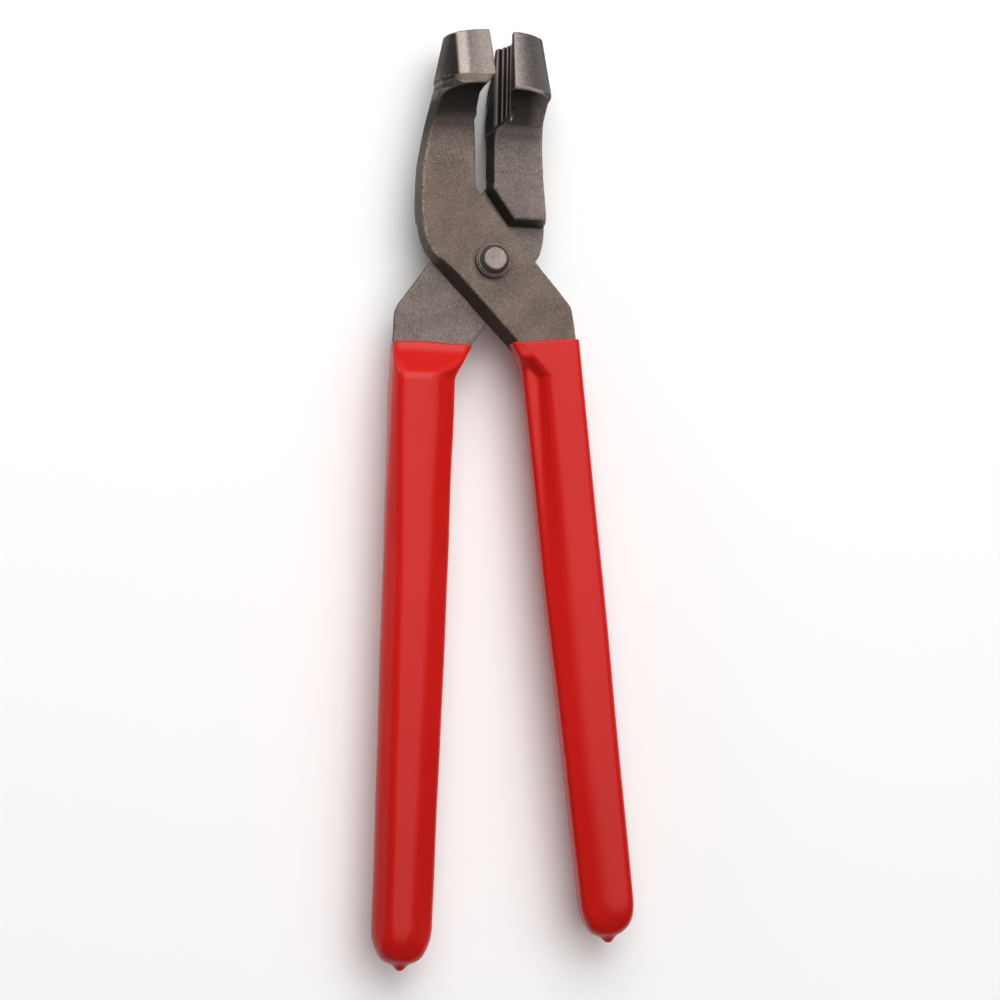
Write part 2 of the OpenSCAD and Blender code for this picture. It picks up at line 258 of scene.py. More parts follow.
backArm = {
    "side": 1, "swing": -3, "lap": -1,
    "outer": [(14.2, 1.2), (15.2, 2.7), (16.1, 4.8), (16.8, 8.9), (16.85, 14.9), (16.5, 18.9), (15.8, 25.9),
              (15.3, 31.8), (15.15, 37.9), (15.4, 42.9), (16.2, 47), (16.95, 50), (17.85, 51.9), (17.9, 52.9),
              (17.2, 56.3), (14.9, 69.4)],
    "inner": [(11, 69.4, 0), (4.0, 56, 0), (-0.6, 50, 0), (-0.8, 36.5, 0), (-0.7, 23.2, 2), (-28.1, -15.0, 8),
              (-28.4, -24.7, 0), (-28.4, -33, 0), (-9.5, -33, 4), (-4.6, -24.8, 0)],
    "neckEdge": ((-4.6, -24.8), (14.2, 1.2)), "neckDraft": 0.33,
    "shoulder": [(-1.4, 22.0), (6.05, 12.0), (30, 12.3)], "stepEdge": 1.0,
    "baseR": 14.3, "baseY": 51.4, "topR": 11.2, "bevelDrop": 0.7, "bevelIn": 0.35, "filletDrop": 7.0,
    "baseTilt": (0.0, 0.0), "topTilt": 0.0,
    "throatY": 33.0, "backFull": 5.4, "floor": (40.2, 0.9, -0.12),
    "innerY": [44, 47.5], "innerFront": [-6, 0], "innerBack": [-6, 0],
    "openThroat": None, "hem": None,
    # the rear edge of the jaw runs down past the teeth: its left side at each height
    "lip": {"line": ([34, 37.9, 40.4, 43.5, 46.5, 49.7, 52.9, 56, 62.3],
                     [1.2, 0.9, 0.55, 0.45, 0.6, 1.1, 1.5, 1.7, 2.95]),
            "right": 6, "low": 35, "high": 63, "front": -9.4, "deep": (6.2, 5.4), "round": 0.5, "join": 0.4},
    # how dark the soot and painted shade under the head are, by height
    "soot": [(26, 0), (31, 0.14), (36, 0.42), (40.2, 0.66), (41.6, 0.93), (50.4, 1), (51.2, 0.6)],
    "sootFrom": (9.0, 14.0), "sootEdge": 0.5, "strip": 99,
}


def planOutline(p):
    # outline of a forging seen from the front
    inner = [p["outer"][-1] + (0,)] + p["inner"] + [p["outer"][0] + (0,)]
    return np.array(curveThrough(p["outer"]) + list(roundCorners(inner)[1:-1]))


def partingLine(y, z):
    # the inner sides of the heads meet at the axis in front, and stand further left behind
    left = np.interp(y, *heads["backLeft"])
    return heads["axis"] - smoothStep(-z, *heads["backFrom"]) * left


def undercutStart(p):
    # radius and height where a head's undercut begins, past its bevel
    return p["baseR"] - p["bevelIn"], p["baseY"] - p["bevelDrop"]


def headProfile(p):
    # half outline of a head as (radius, height), from its undercut to the top
    h = heads
    startR, startY = undercutStart(p)
    run = startR - h["filletInner"]
    fillet = [(startR - run * math.sin(t), startY - p["filletDrop"] * (1 - math.cos(t)))
              for t in np.linspace(0, math.pi / 2, 14)]
    return np.array([(h["core"], fillet[-1][1])] + fillet[::-1]
                    + [(p["baseR"], p["baseY"]), (p["topR"], h["top"]), (h["core"], h["top"])])


def serrationOutline(side):
    # what the serrated hollow cuts away, in x and z: V grooves round a shallow
    # hollow, which runs on plain behind them
    h = heads
    span = math.asin(h["halfWidth"] / h["hollow"])
    centre = h["axis"] + side * (h["depth"] - h["hollow"])
    steps = 2 * h["grooves"]
    corners = [(h["hollow"] + h["plainDepth"], -span * h["plainSpan"])]
    for i in range(steps + 1):
        corners.append((h["hollow"] + (h["groove"] if i % 2 == 1 else 0), -span + 2 * span * i / steps))
    away = centre - side * h["cutWidth"]
    return np.array([(away, -h["halfWidth"] - h["cutPast"])]
                    + [(centre + side * r * math.cos(a), r * math.sin(a)) for r, a in corners]
                    + [(away, h["halfWidth"])])


def wallDistance(plan, deep, draft):
    # distance to an outline's wall, which leans in by its draft beyond the trimmed strip
    return (plan - arms["swell"] + deep * draft * arms["draftGain"]) * arms["draftScale"]


def barForm(p, plan, x, y, z):
    # an arm's bar, with half its thickness at the joint up to the shoulder; and its draft
    away = np.abs(z)
    a, b = p["neckEdge"]
    nearNeck = (smoothStep(-np.abs(lineSide(a, b, x, y)), -5, -2.5) * smoothStep(y, -40, -30)
                * smoothStep(-y, -5, 4))
    draft = arms["sideDraft"] + nearNeck * (p["neckDraft"] - arms["sideDraft"])
    wall = wallDistance(plan, np.maximum(away - arms["flash"] * (1 - nearNeck), 0), draft)
    bar = both(wall, away - arms["halfThick"], arms["edge"])
    lap = arms["play"] - p["lap"] * z
    shoulder = -1e3
    for (c, d) in zip(p["shoulder"][:-1], p["shoulder"][1:]):
        shoulder = np.maximum(shoulder, p["side"] * lineSide(c, d, x, y))
    shoulder = shoulder + arms["sideDraft"] * np.clip(-p["lap"] * z, 0, arms["halfThick"])
    return both(bar, either(lap, shoulder, arms["lapFillet"]), p["stepEdge"]), draft


def coneDistance(p, q, height):
    # distance to a head's turned form, looked up by radius and height
    step = 0.1
    tableQ, tableY = np.arange(0, 40, step), np.arange(-40, 76, step)
    profile = outlineDistance(headProfile(p), tableQ[:, None], tableY[None, :])
    qi = np.clip(q / step, 0, len(tableQ) - 1.001) + 0 * height
    yi = np.clip((height - tableY[0]) / step, 0, len(tableY) - 1.001) + 0 * q
    i, j = qi.astype(int), yi.astype(int)
    fi, fj = qi - i, yi - j
    return (profile[i, j] * (1 - fi) * (1 - fj) + profile[i + 1, j] * fi * (1 - fj)
            + profile[i, j + 1] * (1 - fi) * fj + profile[i + 1, j + 1] * fi * fj)


def skirtForm(p, q, x, y):
    # outwards, the base of a head runs down into the arm
    hem = p["hem"]
    low = np.interp(-x, *hem["line"])
    reach = p["baseR"] - hem["in"] + hem["out"] * smoothStep(-x, *hem["from"])
    band = both(y - p["baseY"] + 0.4, x + hem["from"][0], 0.5)
    return both(both(q - reach, (low - y) / 1.2, 0.4), band, 0.3)


def throatForm(p, plan, draft, q, lift, parting, x, y, z):
    # over their whole width the faces sweep out to the base of the head
    k = throats
    away = np.abs(z)
    startR, startY = undercutStart(p)
    t = np.clip((y + lift - p["throatY"]) / (startY - p["throatY"]), 0, k["steepest"])
    rise = startR - arms["halfThick"]
    slope = rise / (startY - p["throatY"]) * t / np.sqrt(1 - t * t)
    sweep = arms["halfThick"] + rise * (1 - np.sqrt(1 - t * t))
    behind = smoothStep(y, *k["backFrom"]) * smoothStep(-z, *k["backDeep"])
    sweep = np.maximum(sweep, arms["halfThick"] + p["backFull"] * behind)
    wide, opened = plan, p["openThroat"]
    if opened:
        closing = [(opened["right"], p["outer"][end][1]) for end in (-1, 0)]
        wide = outlineDistance(np.array(curveThrough(p["outer"]) + closing), x, y)
        wide = np.where(x < opened["wallTo"], wide, opened["inside"])
        wide = plan + (wide - plan) * smoothStep(y, *opened["from"])
    # past the arm's thickness the wall leans half as much
    deep = np.clip(away - arms["flash"], 0, arms["halfThick"] - arms["flash"])
    deep = deep + 0.5 * np.maximum(away - arms["halfThick"], 0)
    throat = both(wallDistance(wide, deep, draft), (away - sweep) / np.sqrt(1 + slope * slope), k["round"])
    throat = both(throat, (q - startR - k["flare"] * (startY - y - lift)) / k["flareLength"], k["round"])
    ends = both(y + lift - startY, p["throatY"] - k["below"] - y, k["edge"])
    return both(both(throat, ends, k["edge"]), parting, heads["round"])


def lipForm(lip, x, y, z):
    # the rear edge of a jaw, past its teeth
    deep = lip["deep"][0] + lip["deep"][1] * smoothStep(y, *throats["backFrom"])
    across = both(np.interp(y, *lip["line"]) - x, x - lip["right"], lip["round"])
    across = both(across, both(-z - deep, z - lip["front"], lip["round"]), lip["round"])
    return both(across, both(y - lip["high"], lip["low"] - y, lip["round"]), lip["round"])


def forgeForm(p, x, y, z):
    # distances of one closed forging, of its cone and of its teeth, at any points
    h = heads
    plan = outlineDistance(planOutline(p), x, y)
    bar, draft = barForm(p, plan, x, y, z)

    # head: half of a ground cone with a forged undercut, not quite square to its axis
    q = np.sqrt((x - h["axis"]) ** 2 + z ** 2)
    atTop = smoothStep(y, *h["tiltChange"])
    lift = (p["baseTilt"][0] + p["baseTilt"][1] * (x - h["axis"])) * (1 - atTop)
    lift = lift + p["topTilt"] * (x - h["axis"]) * atTop
    cone = coneDistance(p, q, y + lift)
    front, line = smoothStep(z, *h["frontFrom"]), partingLine(y, z)
    past = (1 - front) * np.interp(y, p["innerY"], p["innerBack"]) + front * np.interp(y, p["innerY"], p["innerFront"])
    parting = -p["side"] * (x - line - past) + h["halfGap"]
    head = both(cone, parting if p["side"] < 0 else -(x - line) + h["halfGap"], h["round"])
    # grinding took the arm's own edges off with the cone's
    taper = (p["topR"] - p["baseR"]) / (h["top"] - p["baseY"])
    ground = q - p["baseR"] - h["grindGap"] - taper * (y - p["baseY"])
    bar = both(bar, ground - h["grindSlope"] * np.maximum(p["baseY"] - 1 - y, 0), 0.3)
    if p["hem"]:
        head = either(head, skirtForm(p, q, x, y), h["join"])
    throat = throatForm(p, plan, draft, q, lift, parting, x, y, z)
    form = either(either(both(bar, y - h["top"], 0.3), throat, h["join"]), head, h["join"])

    # teeth, down to a sloping floor
    serration = outlineDistance(serrationOutline(p["side"]), x, z)
    floor = p["floor"]
    cut = both(serration, (floor[0] + floor[1] * x + floor[2] * z - y) / math.hypot(1, floor[1]), 0.15)
    form = both(form, -cut, 0.12)
    if p["lip"]:
        form = either(form, lipForm(p["lip"], x, y, z), p["lip"]["join"])
    if p["lap"] > 0:
        form = both(form, arms["bore"] - np.sqrt(x ** 2 + y ** 2), 0.2)
    rough = 1 - smoothStep(y, 50, 53)
    form = form + arms["uneven"] * rough * softNoise(x, y, z, arms["unevenSize"], 4 + p["side"])
    return form, cone, both(np.abs(serration), cut - 0.4, 0.05)


def gridSample(values, points, low, voxel):
    # value of a grid at points between its places
    q = np.clip((points - low) / voxel, 0, np.array(values.shape) - 1.001)
    i = q.astype(int)
    f = q - i
    total = 0
    for corner in range(8):
        o = np.array((corner & 1, corner >> 1 & 1, corner >> 2 & 1))
        weight = np.prod(np.where(o, f, 1 - f), axis=1)
        k = i + o
        total = total + values[k[:, 0], k[:, 1], k[:, 2]] * weight
    return total


def finishMasks(p, x, y, z):
    # where each finish lies, from the same distances as the shape
    h, e = heads, edges
    cone, cut = forgeForm(p, x, y, z)[1:]
    angle = np.degrees(np.arctan2(np.abs(x - h["axis"]), np.abs(z)))
    outerLine = -pathDistance(p["outer"], x, y)
    height = y + (p["baseTilt"][0] + p["baseTilt"][1] * (x - h["axis"]))
    bevelY = undercutStart(p)[1]
    # the grinding stops at a strip along the outer side, seen 13 degrees from the left
    leftwards = -x - e["leftwards"] * z
    ground = smoothStep(-np.abs(cone), *e["cone"]) * smoothStep(height, p["baseY"] - 0.3, p["baseY"] + 0.1)
    ground = ground * (1 - smoothStep(leftwards, p["strip"] - 0.2, p["strip"] + 0.2))
    soot = np.interp(y, *zip(*p["soot"]))
    if p["hem"]:
        # above the hem, the front of the head's left part also gets soot and painted shade
        above = smoothStep(y - np.interp(-x, *p["hem"]["line"]), -0.3, 0.3)
        soot = soot * (1 - above) + above * 0.7 * smoothStep(z, 3, 7) * (x < -4)
    toothX = h["axis"] + p["side"] * (h["depth"] - h["hollow"])
    inTeeth = smoothStep(-cut, *e["teeth"]) * (np.abs(x - h["axis"]) < e["toothReach"])
    # the back of each head near the line between them: darkened with the soot and painted shade, and without teeth
    # colour
    behind = smoothStep(-z, *e["behind"]) * (p["side"] * (x - h["axis"]) < 1)
    endFace = smoothStep(y + p["topTilt"] * (x - h["axis"]), h["top"] - e["endFace"][0], h["top"] - e["endFace"][1])
    # how far round the cone: across the view from 13 degrees left on the front arm, by angle on the back arm; it
    # places the painted highlight and the painted side shade
    turn = (h["axis"] + leftwards) / e["turnWidth"] if p["side"] < 0 else angle / e["turnAngle"]
    rim = smoothStep(-np.abs(cone), *e["rim"]) * smoothStep(height, bevelY - 0.25, bevelY + 0.05)
    rim = rim * smoothStep(-height, -p["baseY"] - 0.15, -p["baseY"] + 0.1) * smoothStep(-angle, *e["rimAngle"])
    return {
        # the outermost strip: the painted wall shade is lighter there and folds are rubbed bare, more at the front
        # head's top
        "outer": smoothStep(outerLine, *e["outer"])
                 * (smoothStep(-y, *e["fadeDown"]) + e["rubbed"] * smoothStep(y, *e["rubbedUp"]) * (p["side"] < 0)),
        "groove": np.hypot(x - toothX, z) - h["hollow"],
        "ground": ground,
        "turn": turn * (1 - endFace),
        "teeth": inTeeth * (1 - behind),
        "rim": rim * (1 - smoothStep(x, 1.2, 2.6) * (p["side"] < 0)),
        # soot with painted shade, also at the backs of the heads; less towards each arm's side and its outer edge
        "soot": np.maximum(soot, 0.95 * behind) * (1 - 0.5 * smoothStep(p["side"] * x, *p["sootFrom"]))
                * (1 - p["sootEdge"] * smoothStep(outerLine, -1.7, -0.9)),
    }


def forgeArm(name, p, body, node, voxel):
    low, high = np.array((-31.0, -34.0, -17.0)), np.array((27.0, 71.0, 17.0))
    reach = 3.0
    x, y, z = [np.arange(low[i], high[i], voxel) for i in range(3)]
    form = forgeForm(p, x[:, None, None], y[None, :, None], z[None, None, :])[0]
    grid = openvdb.FloatGrid(background=reach)
    grid.copyFromArray(np.clip(form, -reach, reach).astype(np.float32))
    points, triangles, quads = grid.convertToPolygons(isovalue=0.0, adaptivity=0.0)
    points = points * voxel + low
    piece = meshFromQuads(name, points, quads.tolist() + triangles.tolist(), body, node, p["swing"])

    # bend is sharp where the surface folds outwards, and below zero in creases
    bend = np.zeros_like(form)
    for axis in range(3):
        bend += (np.roll(form, 1, axis) + np.roll(form, -1, axis) - 2 * form) / voxel ** 2
    closed = unswing(piece, p["swing"])
    masks = {"bend": gridSample(bend, closed, low, voxel), **finishMasks(p, *closed.T)}
    for mask, values in masks.items():
        layer = piece.data.attributes.new(mask, "FLOAT", "POINT")
        layer.data.foreach_set("value", np.asarray(values, np.float32))
    return piece


def unswing(piece, swing):
    # a piece's points, closed and in mm from the pivot
    flat = np.zeros(len(piece.data.vertices) * 3)
    piece.data.vertices.foreach_get("co", flat)
    return ((flat.reshape(-1, 3) - np.array(pivot)) / mm) @ turnAbout(swing)


voxel = 0.3
frontForging = forgeArm("frontArmForging", frontArm, "front_half", "front_arm", voxel)
backForging = forgeArm("backArmForging", backArm, "back_half", "back_arm", voxel)
print("forgings made")

# The rivet, in mm from the pivot: half outline as (radius, height), from the
# hammered tail behind to the stepped head in front
rivet = {"around": 96, "rings": 260, "hammer": 0.3, "hammerSize": 2.0, "seed": 3.0,
         "profile": [(0.0, -8.35), (2.7, -8.4), (3.9, -8.15), (5.0, -7.45), (5.7, -6.5), (5.72, -5.95), (4.0, -5.9),
                     (4.0, 5.95), (5.3, 5.98), (5.42, 6.2), (5.42, 7.45), (5.3, 7.72), (4.98, 7.84), (4.86, 8.1),
                     (4.7, 8.2), (4.46, 8.25), (4.38, 8.5), (4.2, 8.62), (4.02, 8.95), (3.8, 9.4), (3.55, 9.78),
                     (3.25, 10.0), (2.8, 10.1), (0.0, 10.02)]}


def link(tree, a, out, b, into):
    tree.links.new(a.outputs[out], b.inputs[into])


def turnedTree():
    # spins a half outline round an axis and hammers its flat ends
    tree = bpy.data.node_groups.new("turnedAndHammered", "GeometryNodeTree")
    for label, kind, value in (("Geometry", "Geometry", None), ("Rings", "Int", 200), ("Around", "Int", 64),
                               ("Centre", "Vector", None), ("Hammer Depth", "Float", 0.1 * mm),
                               ("Hammer Size", "Float", 2 * mm), ("Seed", "Float", 3.0), ("Finish", "Material", None)):
        socket = tree.interface.new_socket(label, in_out="INPUT", socket_type="NodeSocket" + kind)
        if value is not None:
            socket.default_value = value
    tree.interface.new_socket("Geometry", in_out="OUTPUT", socket_type="NodeSocketGeometry")
    nodes = tree.nodes
    inputs, output = nodes.new("NodeGroupInput"), nodes.new("NodeGroupOutput")
    curve = nodes.new("GeometryNodeMeshToCurve")
    link(tree, inputs, "Geometry", curve, "Mesh")
    grid = nodes.new("GeometryNodeMeshGrid")
    link(tree, inputs, "Rings", grid, "Vertices X")
    link(tree, inputs, "Around", grid, "Vertices Y")
    place = nodes.new("GeometryNodeInputPosition")
    apart = nodes.new("ShaderNodeSeparateXYZ")
    link(tree, place, "Position", apart, "Vector")

    def sums(operation, a, b):
        node = nodes.new("ShaderNodeMath")
        node.operation = operation
        for slot, value in enumerate((a, b)):
            if isinstance(value, (int, float)):
                node.inputs[slot].default_value = value
            elif value is not None:
                tree.links.new(value, node.inputs[slot])
        return node.outputs[0]

    along, turn = sums("ADD", apart.outputs["X"], 0.5), sums("MULTIPLY", apart.outputs["Y"], 2 * math.pi)
    sample = nodes.new("GeometryNodeSampleCurve")
    sample.mode = "FACTOR"
    link(tree, curve, "Curve", sample, "Curves")
    tree.links.new(along, sample.inputs["Factor"])
    outline = nodes.new("ShaderNodeSeparateXYZ")
    link(tree, sample, "Position", outline, "Vector")
    spun = nodes.new("ShaderNodeCombineXYZ")
    for axis, wave in (("X", "COSINE"), ("Y", "SINE")):
        tree.links.new(sums("MULTIPLY", outline.outputs["X"], sums(wave, turn, None)), spun.inputs[axis])
    tree.links.new(outline.outputs["Z"], spun.inputs["Z"])
    moved = nodes.new("GeometryNodeSetPosition")
    link(tree, grid, "Mesh", moved, "Geometry")
    link(tree, spun, "Vector", moved, "Position")
    merged = nodes.new("GeometryNodeMergeByDistance")
    merged.inputs["Distance"].default_value = 1e-6
    link(tree, moved, "Geometry", merged, "Geometry")
    noise = nodes.new("ShaderNodeTexNoise")
    noise.noise_dimensions = "4D"
    noise.inputs["Detail"].default_value = 2.0
    tree.links.new(sums("DIVIDE", 1.0, inputs.outputs["Hammer Size"]), noise.inputs["Scale"])
    link(tree, place, "Position", noise, "Vector")
    link(tree, inputs, "Seed", noise, "W")
    dent = sums("MULTIPLY", sums("SUBTRACT", noise.outputs[0], 0.5), inputs.outputs["Hammer Depth"])
    normal = nodes.new("GeometryNodeInputNormal")
    push = nodes.new("ShaderNodeVectorMath")
    push.operation = "SCALE"
    link(tree, normal, "Normal", push, "Vector")
    tree.links.new(dent, push.inputs["Scale"])
    lift = nodes.new("ShaderNodeVectorMath")
    lift.operation = "ADD"
    link(tree, inputs, "Centre", lift, 0)
    link(tree, push, "Vector", lift, 1)
    hammered = nodes.new("GeometryNodeSetPosition")
    link(tree, merged, "Geometry", hammered, "Geometry")
    link(tree, lift, "Vector", hammered, "Offset")
    smooth = nodes.new("GeometryNodeSetShadeSmooth")
    link(tree, hammered, "Geometry", smooth, "Geometry")
    real = nodes.new("GeometryNodeRealizeInstances")
    link(tree, smooth, "Geometry", real, "Geometry")
    finish = nodes.new("GeometryNodeSetMaterial")
    link(tree, real, "Geometry", finish, "Geometry")
    link(tree, inputs, "Finish", finish, "Material")
    link(tree, finish, "Geometry", output, "Geometry")
    return tree


def makeRivet(r, finish):
    mesh = bpy.data.meshes.new("rivetOutline")
    points = [(radius * mm, 0, height * mm) for radius, height in r["profile"]]
    mesh.from_pydata(points, [(i, i + 1) for i in range(len(points) - 1)], [])
    seed = bpy.data.objects.new("rivetOutline", mesh)
    bpy.context.scene.collection.objects.link(seed)
    tree = turnedTree()
    modifier = seed.modifiers.new("turned", "NODES")
    modifier.node_group = tree
    values = {"Rings": r["rings"], "Around": r["around"], "Centre": tuple(pivot), "Hammer Depth": r["hammer"] * mm,
              "Hammer Size": r["hammerSize"] * mm, "Seed": r["seed"], "Finish": finish}
    for item in tree.interface.items_tree:
        if item.item_type == "SOCKET" and item.in_out == "INPUT" and item.name in values:
            modifier[item.identifier] = values[item.name]
    ready = seed.evaluated_get(bpy.context.evaluated_depsgraph_get())
    plain = bpy.data.meshes.new_from_object(ready)
    seed.modifiers.clear()
    bpy.data.objects.remove(seed)
    cleanUp(plain, 2e-6)
    piece = bpy.data.objects.new("hammeredRivet", plain)
    bpy.context.scene.collection.objects.link(piece)
    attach(piece, "back_half")
    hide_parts("rivet")
    print("rivet has", len(plain.polygons), "faces")
    return piece


# The dipped grips, in mm, closed: a coating over each handle, bevelled as the
# handle is, thicker than it by the coat, with a bead at its edge and a drip below
grips = {"coat": 1.3, "dipY": -24.7, "lean": 1.0, "land": 2.5, "innerBevel": 6.6, "outerRun": 3.6, "backFlat": 1.28,
         "neckStart": 26.0, "neckFull": 35.5, "fold": 1.3, "tipFold": 2.0, "rim": 0.6, "taperFrom": 90, "taperTo": 196,
         "tip": 12.0, "drip": 1.7, "dripJoin": 1.6, "wobble": 0.1, "wobbleSize": 24, "edgeWobble": 0.3, "edgeSize": 13,
         "reach": 26.0, "halvings": 26, "closeRings": 10, "neckAt": (-36, -25), "neckFront": 3.0, "tuck": (0.8, 0.5)}
leftGrip = {"side": -1, "swing": -3, "x": -18.9, "width": 19.4, "taper": 0.8, "end": 208.8, "innerFoot": 33.6,
            "neck": (-2.85, -28.6), "neckFold": -12.1, "outerBevel": (2.4, 2.2, 3.9), "recess": None, "seed": 11}
rightGrip = {"side": 1, "swing": 3, "x": 15.4, "width": 17.8, "taper": 0.9, "end": 203.8, "innerFoot": 31.5,
             "neck": (2.3, 24.4), "neckFold": -10.4, "outerBevel": (0.5, 1.2, 1.6), "seed": 12,
             # its inner bevel is stepped: steep beside the flat, nearly level beside the wall
             "recess": {"run": ([30, 36, 72, 150], [1.4, 2.2, 3.6, 6.4]), "rise": 2.9, "level": (3.6, 3.9),
                        "from": (28.5, 33), "slope": 0.12, "fold": 0.5}}


def gripOutline(g):
    # plan of the coating, from its outer side round the end and up its inner side
    side, w, lean = g["side"], g["width"] / 2, math.tan(math.radians(grips["lean"]))

    def at(u, down, r=0):
        return (g["x"] + side * (down * lean + u), -down, r)

    e = w - g["taper"]
    tip = [at(e * math.cos(t), g["end"] - grips["tip"] * (1 - math.sin(t))) for t in np.linspace(0, math.pi, 33)]
    corners = [at(w, grips["neckFull"] + 5), at(w, grips["taperFrom"])] + tip + [at(-w, grips["taperFrom"]),
               (at(-w, 0)[0] + side * g["innerFoot"] * lean, -g["innerFoot"] - 1.2, 7),
               (g["neck"][0], grips["dipY"] + 3, 0), (g["neck"][1], grips["dipY"] + 3, 0)]
    return roundCorners(corners)


def gripDistance(g, outline, x, y, z):
    h = grips
    full = arms["halfThick"] + h["coat"]
    # seen from the side: flat all the way up on one face, stepped in at the neck on the other
    end = [(-g["end"] + h["tip"] * (1 - math.sin(t)), full * math.cos(t), 0) for t in np.linspace(math.pi, 0, 33)]
    step = [(10, full, 0), (10, -h["backFlat"], 0), (-h["neckStart"], -h["backFlat"], 9), (-h["neckFull"], -full, 5)]
    plan = outlineDistance(outline, x, y)
    faces = outlineDistance(roundCorners(step + end), y, z * g["side"])
    u = (x - g["x"]) * g["side"] + y * math.tan(math.radians(h["lean"]))
    w = g["width"] / 2 - g["taper"] * smoothStep(-y, h["taperFrom"], h["taperTo"])
    neck = np.clip((-y + h["dipY"]) / (h["neckFull"] + h["dipY"]), 0, 1)
    bevel = np.interp(-y, [-h["dipY"], h["neckFull"] + 4, 90], g["outerBevel"])
    outerFold = w - bevel
    innerFold = -w + h["innerBevel"] + (g["neckFold"] + w - h["innerBevel"]) * (1 - neck)
    drop = full - h["land"]
    outer = ((u - outerFold) * drop + (np.abs(z) - full) * h["outerRun"]) / math.hypot(drop, h["outerRun"])
    inner = ((innerFold - u) * drop + (np.abs(z) - full) * h["innerBevel"]) / math.hypot(drop, h["innerBevel"])
    if g["recess"]:
        k = g["recess"]
        run = np.interp(-y, *k["run"])
        steep = ((innerFold - u) * k["rise"] + (np.abs(z) - full) * run) / np.hypot(k["rise"], run)
        level = k["level"][0] + k["level"][1] * (1 - smoothStep(-y, *k["from"]))
        shelf = (np.abs(z) - level - k["slope"] * (u + w - 0.2)) / 1.01
        inner = np.where(z > 0, either(steep, shelf, k["fold"]), inner)
    tip = smoothStep(-y, g["end"] - h["tip"], g["end"])
    r = h["fold"] + h["tipFold"] * tip
    form = both(both(both(plan, faces, r), inner, r), outer, r)
    form = form + h["wobble"] * (1 - tip) * softNoise(x, y * 0.6, z, h["wobbleSize"], g["seed"])
    tipX = g["x"] + g["side"] * (g["end"] * math.tan(math.radians(h["lean"])))
    drip = np.sqrt((x - tipX) ** 2 + (y + g["end"] - 1.0) ** 2 + z ** 2) - h["drip"]
    return both(either(form, drip, h["dripJoin"]), y - h["dipY"], h["rim"])


def dipGrip(name, g, body, node):
    around, along = ((112, 420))
    h = grips
    outline = gripOutline(g)
    end = -(g["end"] + h["drip"] - 1.0)
    span = np.linspace(0, 1, along)
    last = h["closeRings"]
    down = h["dipY"] - h["rim"] - (abs(end) + h["dipY"] - h["rim"] - last) * span
    rim = h["dipY"] - h["rim"] * (1 - np.sin(np.linspace(math.pi / 2, 0, 9))[:-1])
    tip = (end + last) - (last - 0.002) * np.sin(np.linspace(0, math.pi / 2, 40))[1:]
    ys = np.concatenate((rim - 0.001, down, tip))
    lean = math.tan(math.radians(h["lean"]))
    axis = g["x"] - g["side"] * ys * lean
    neckMid = (g["neck"][0] + g["neck"][1]) / 2
    near = smoothStep(ys, *h["neckAt"])
    cx = axis + (neckMid - axis) * near
    cz = g["side"] * h["neckFront"] * near
    angle = np.linspace(0, 2 * math.pi, around, endpoint=False)
    dx, dz = np.cos(angle)[None, :], np.sin(angle)[None, :]
    low, high = np.zeros((len(ys), around)), np.full((len(ys), around), h["reach"])
    # how far out the coating reaches on each ray, by halving
    for _ in range(h["halvings"]):
        mid = (low + high) / 2
        inside = gripDistance(g, outline, cx[:, None] + dx * mid, ys[:, None] + 0 * mid, cz[:, None] + dz * mid) < 0
        low, high = np.where(inside, mid, low), np.where(inside, high, mid)
    reach = (low + high) / 2
    x, z = cx[:, None] + dx * reach, cz[:, None] + dz * reach
    y = np.broadcast_to(ys[:, None], x.shape).copy()
    y += h["edgeWobble"] * softNoise(x, 0, z, h["edgeSize"], g["seed"] + 5) * np.exp(-((y - h["dipY"]) / 3.0) ** 2)
    rings = np.stack((x, y, z), axis=2)
    inner = rings[0].copy()
    inner[:, 0] = cx[0] + (inner[:, 0] - cx[0]) * h["tuck"][0]
    inner[:, 2] = cz[0] + (inner[:, 2] - cz[0]) * h["tuck"][1]
    rings = np.concatenate((inner[None], rings))
    n = len(rings)
    points = np.vstack((rings.reshape(-1, 3), (cx[0], inner[0, 1] - 1.0, cz[0]), (cx[-1], end, 0)))
    i, j = np.arange(n - 1)[:, None], np.arange(around)[None, :]
    k = (j + 1) % around
    quads = np.stack((i * around + j, i * around + k, (i + 1) * around + k, (i + 1) * around + j), axis=2)
    caps = [[n * around, (m + 1) % around, m] for m in range(around)]
    caps += [[n * around + 1, (n - 1) * around + m, (n - 1) * around + (m + 1) % around] for m in range(around)]
    return meshFromQuads(name, points, quads.reshape(-1, 4).tolist() + caps, body, node, g["swing"])


leftSleeve = dipGrip("leftDippedGrip", leftGrip, "back_half", "left_grip")
rightSleeve = dipGrip("rightDippedGrip", rightGrip, "front_half", "right_grip")
print("grips made")

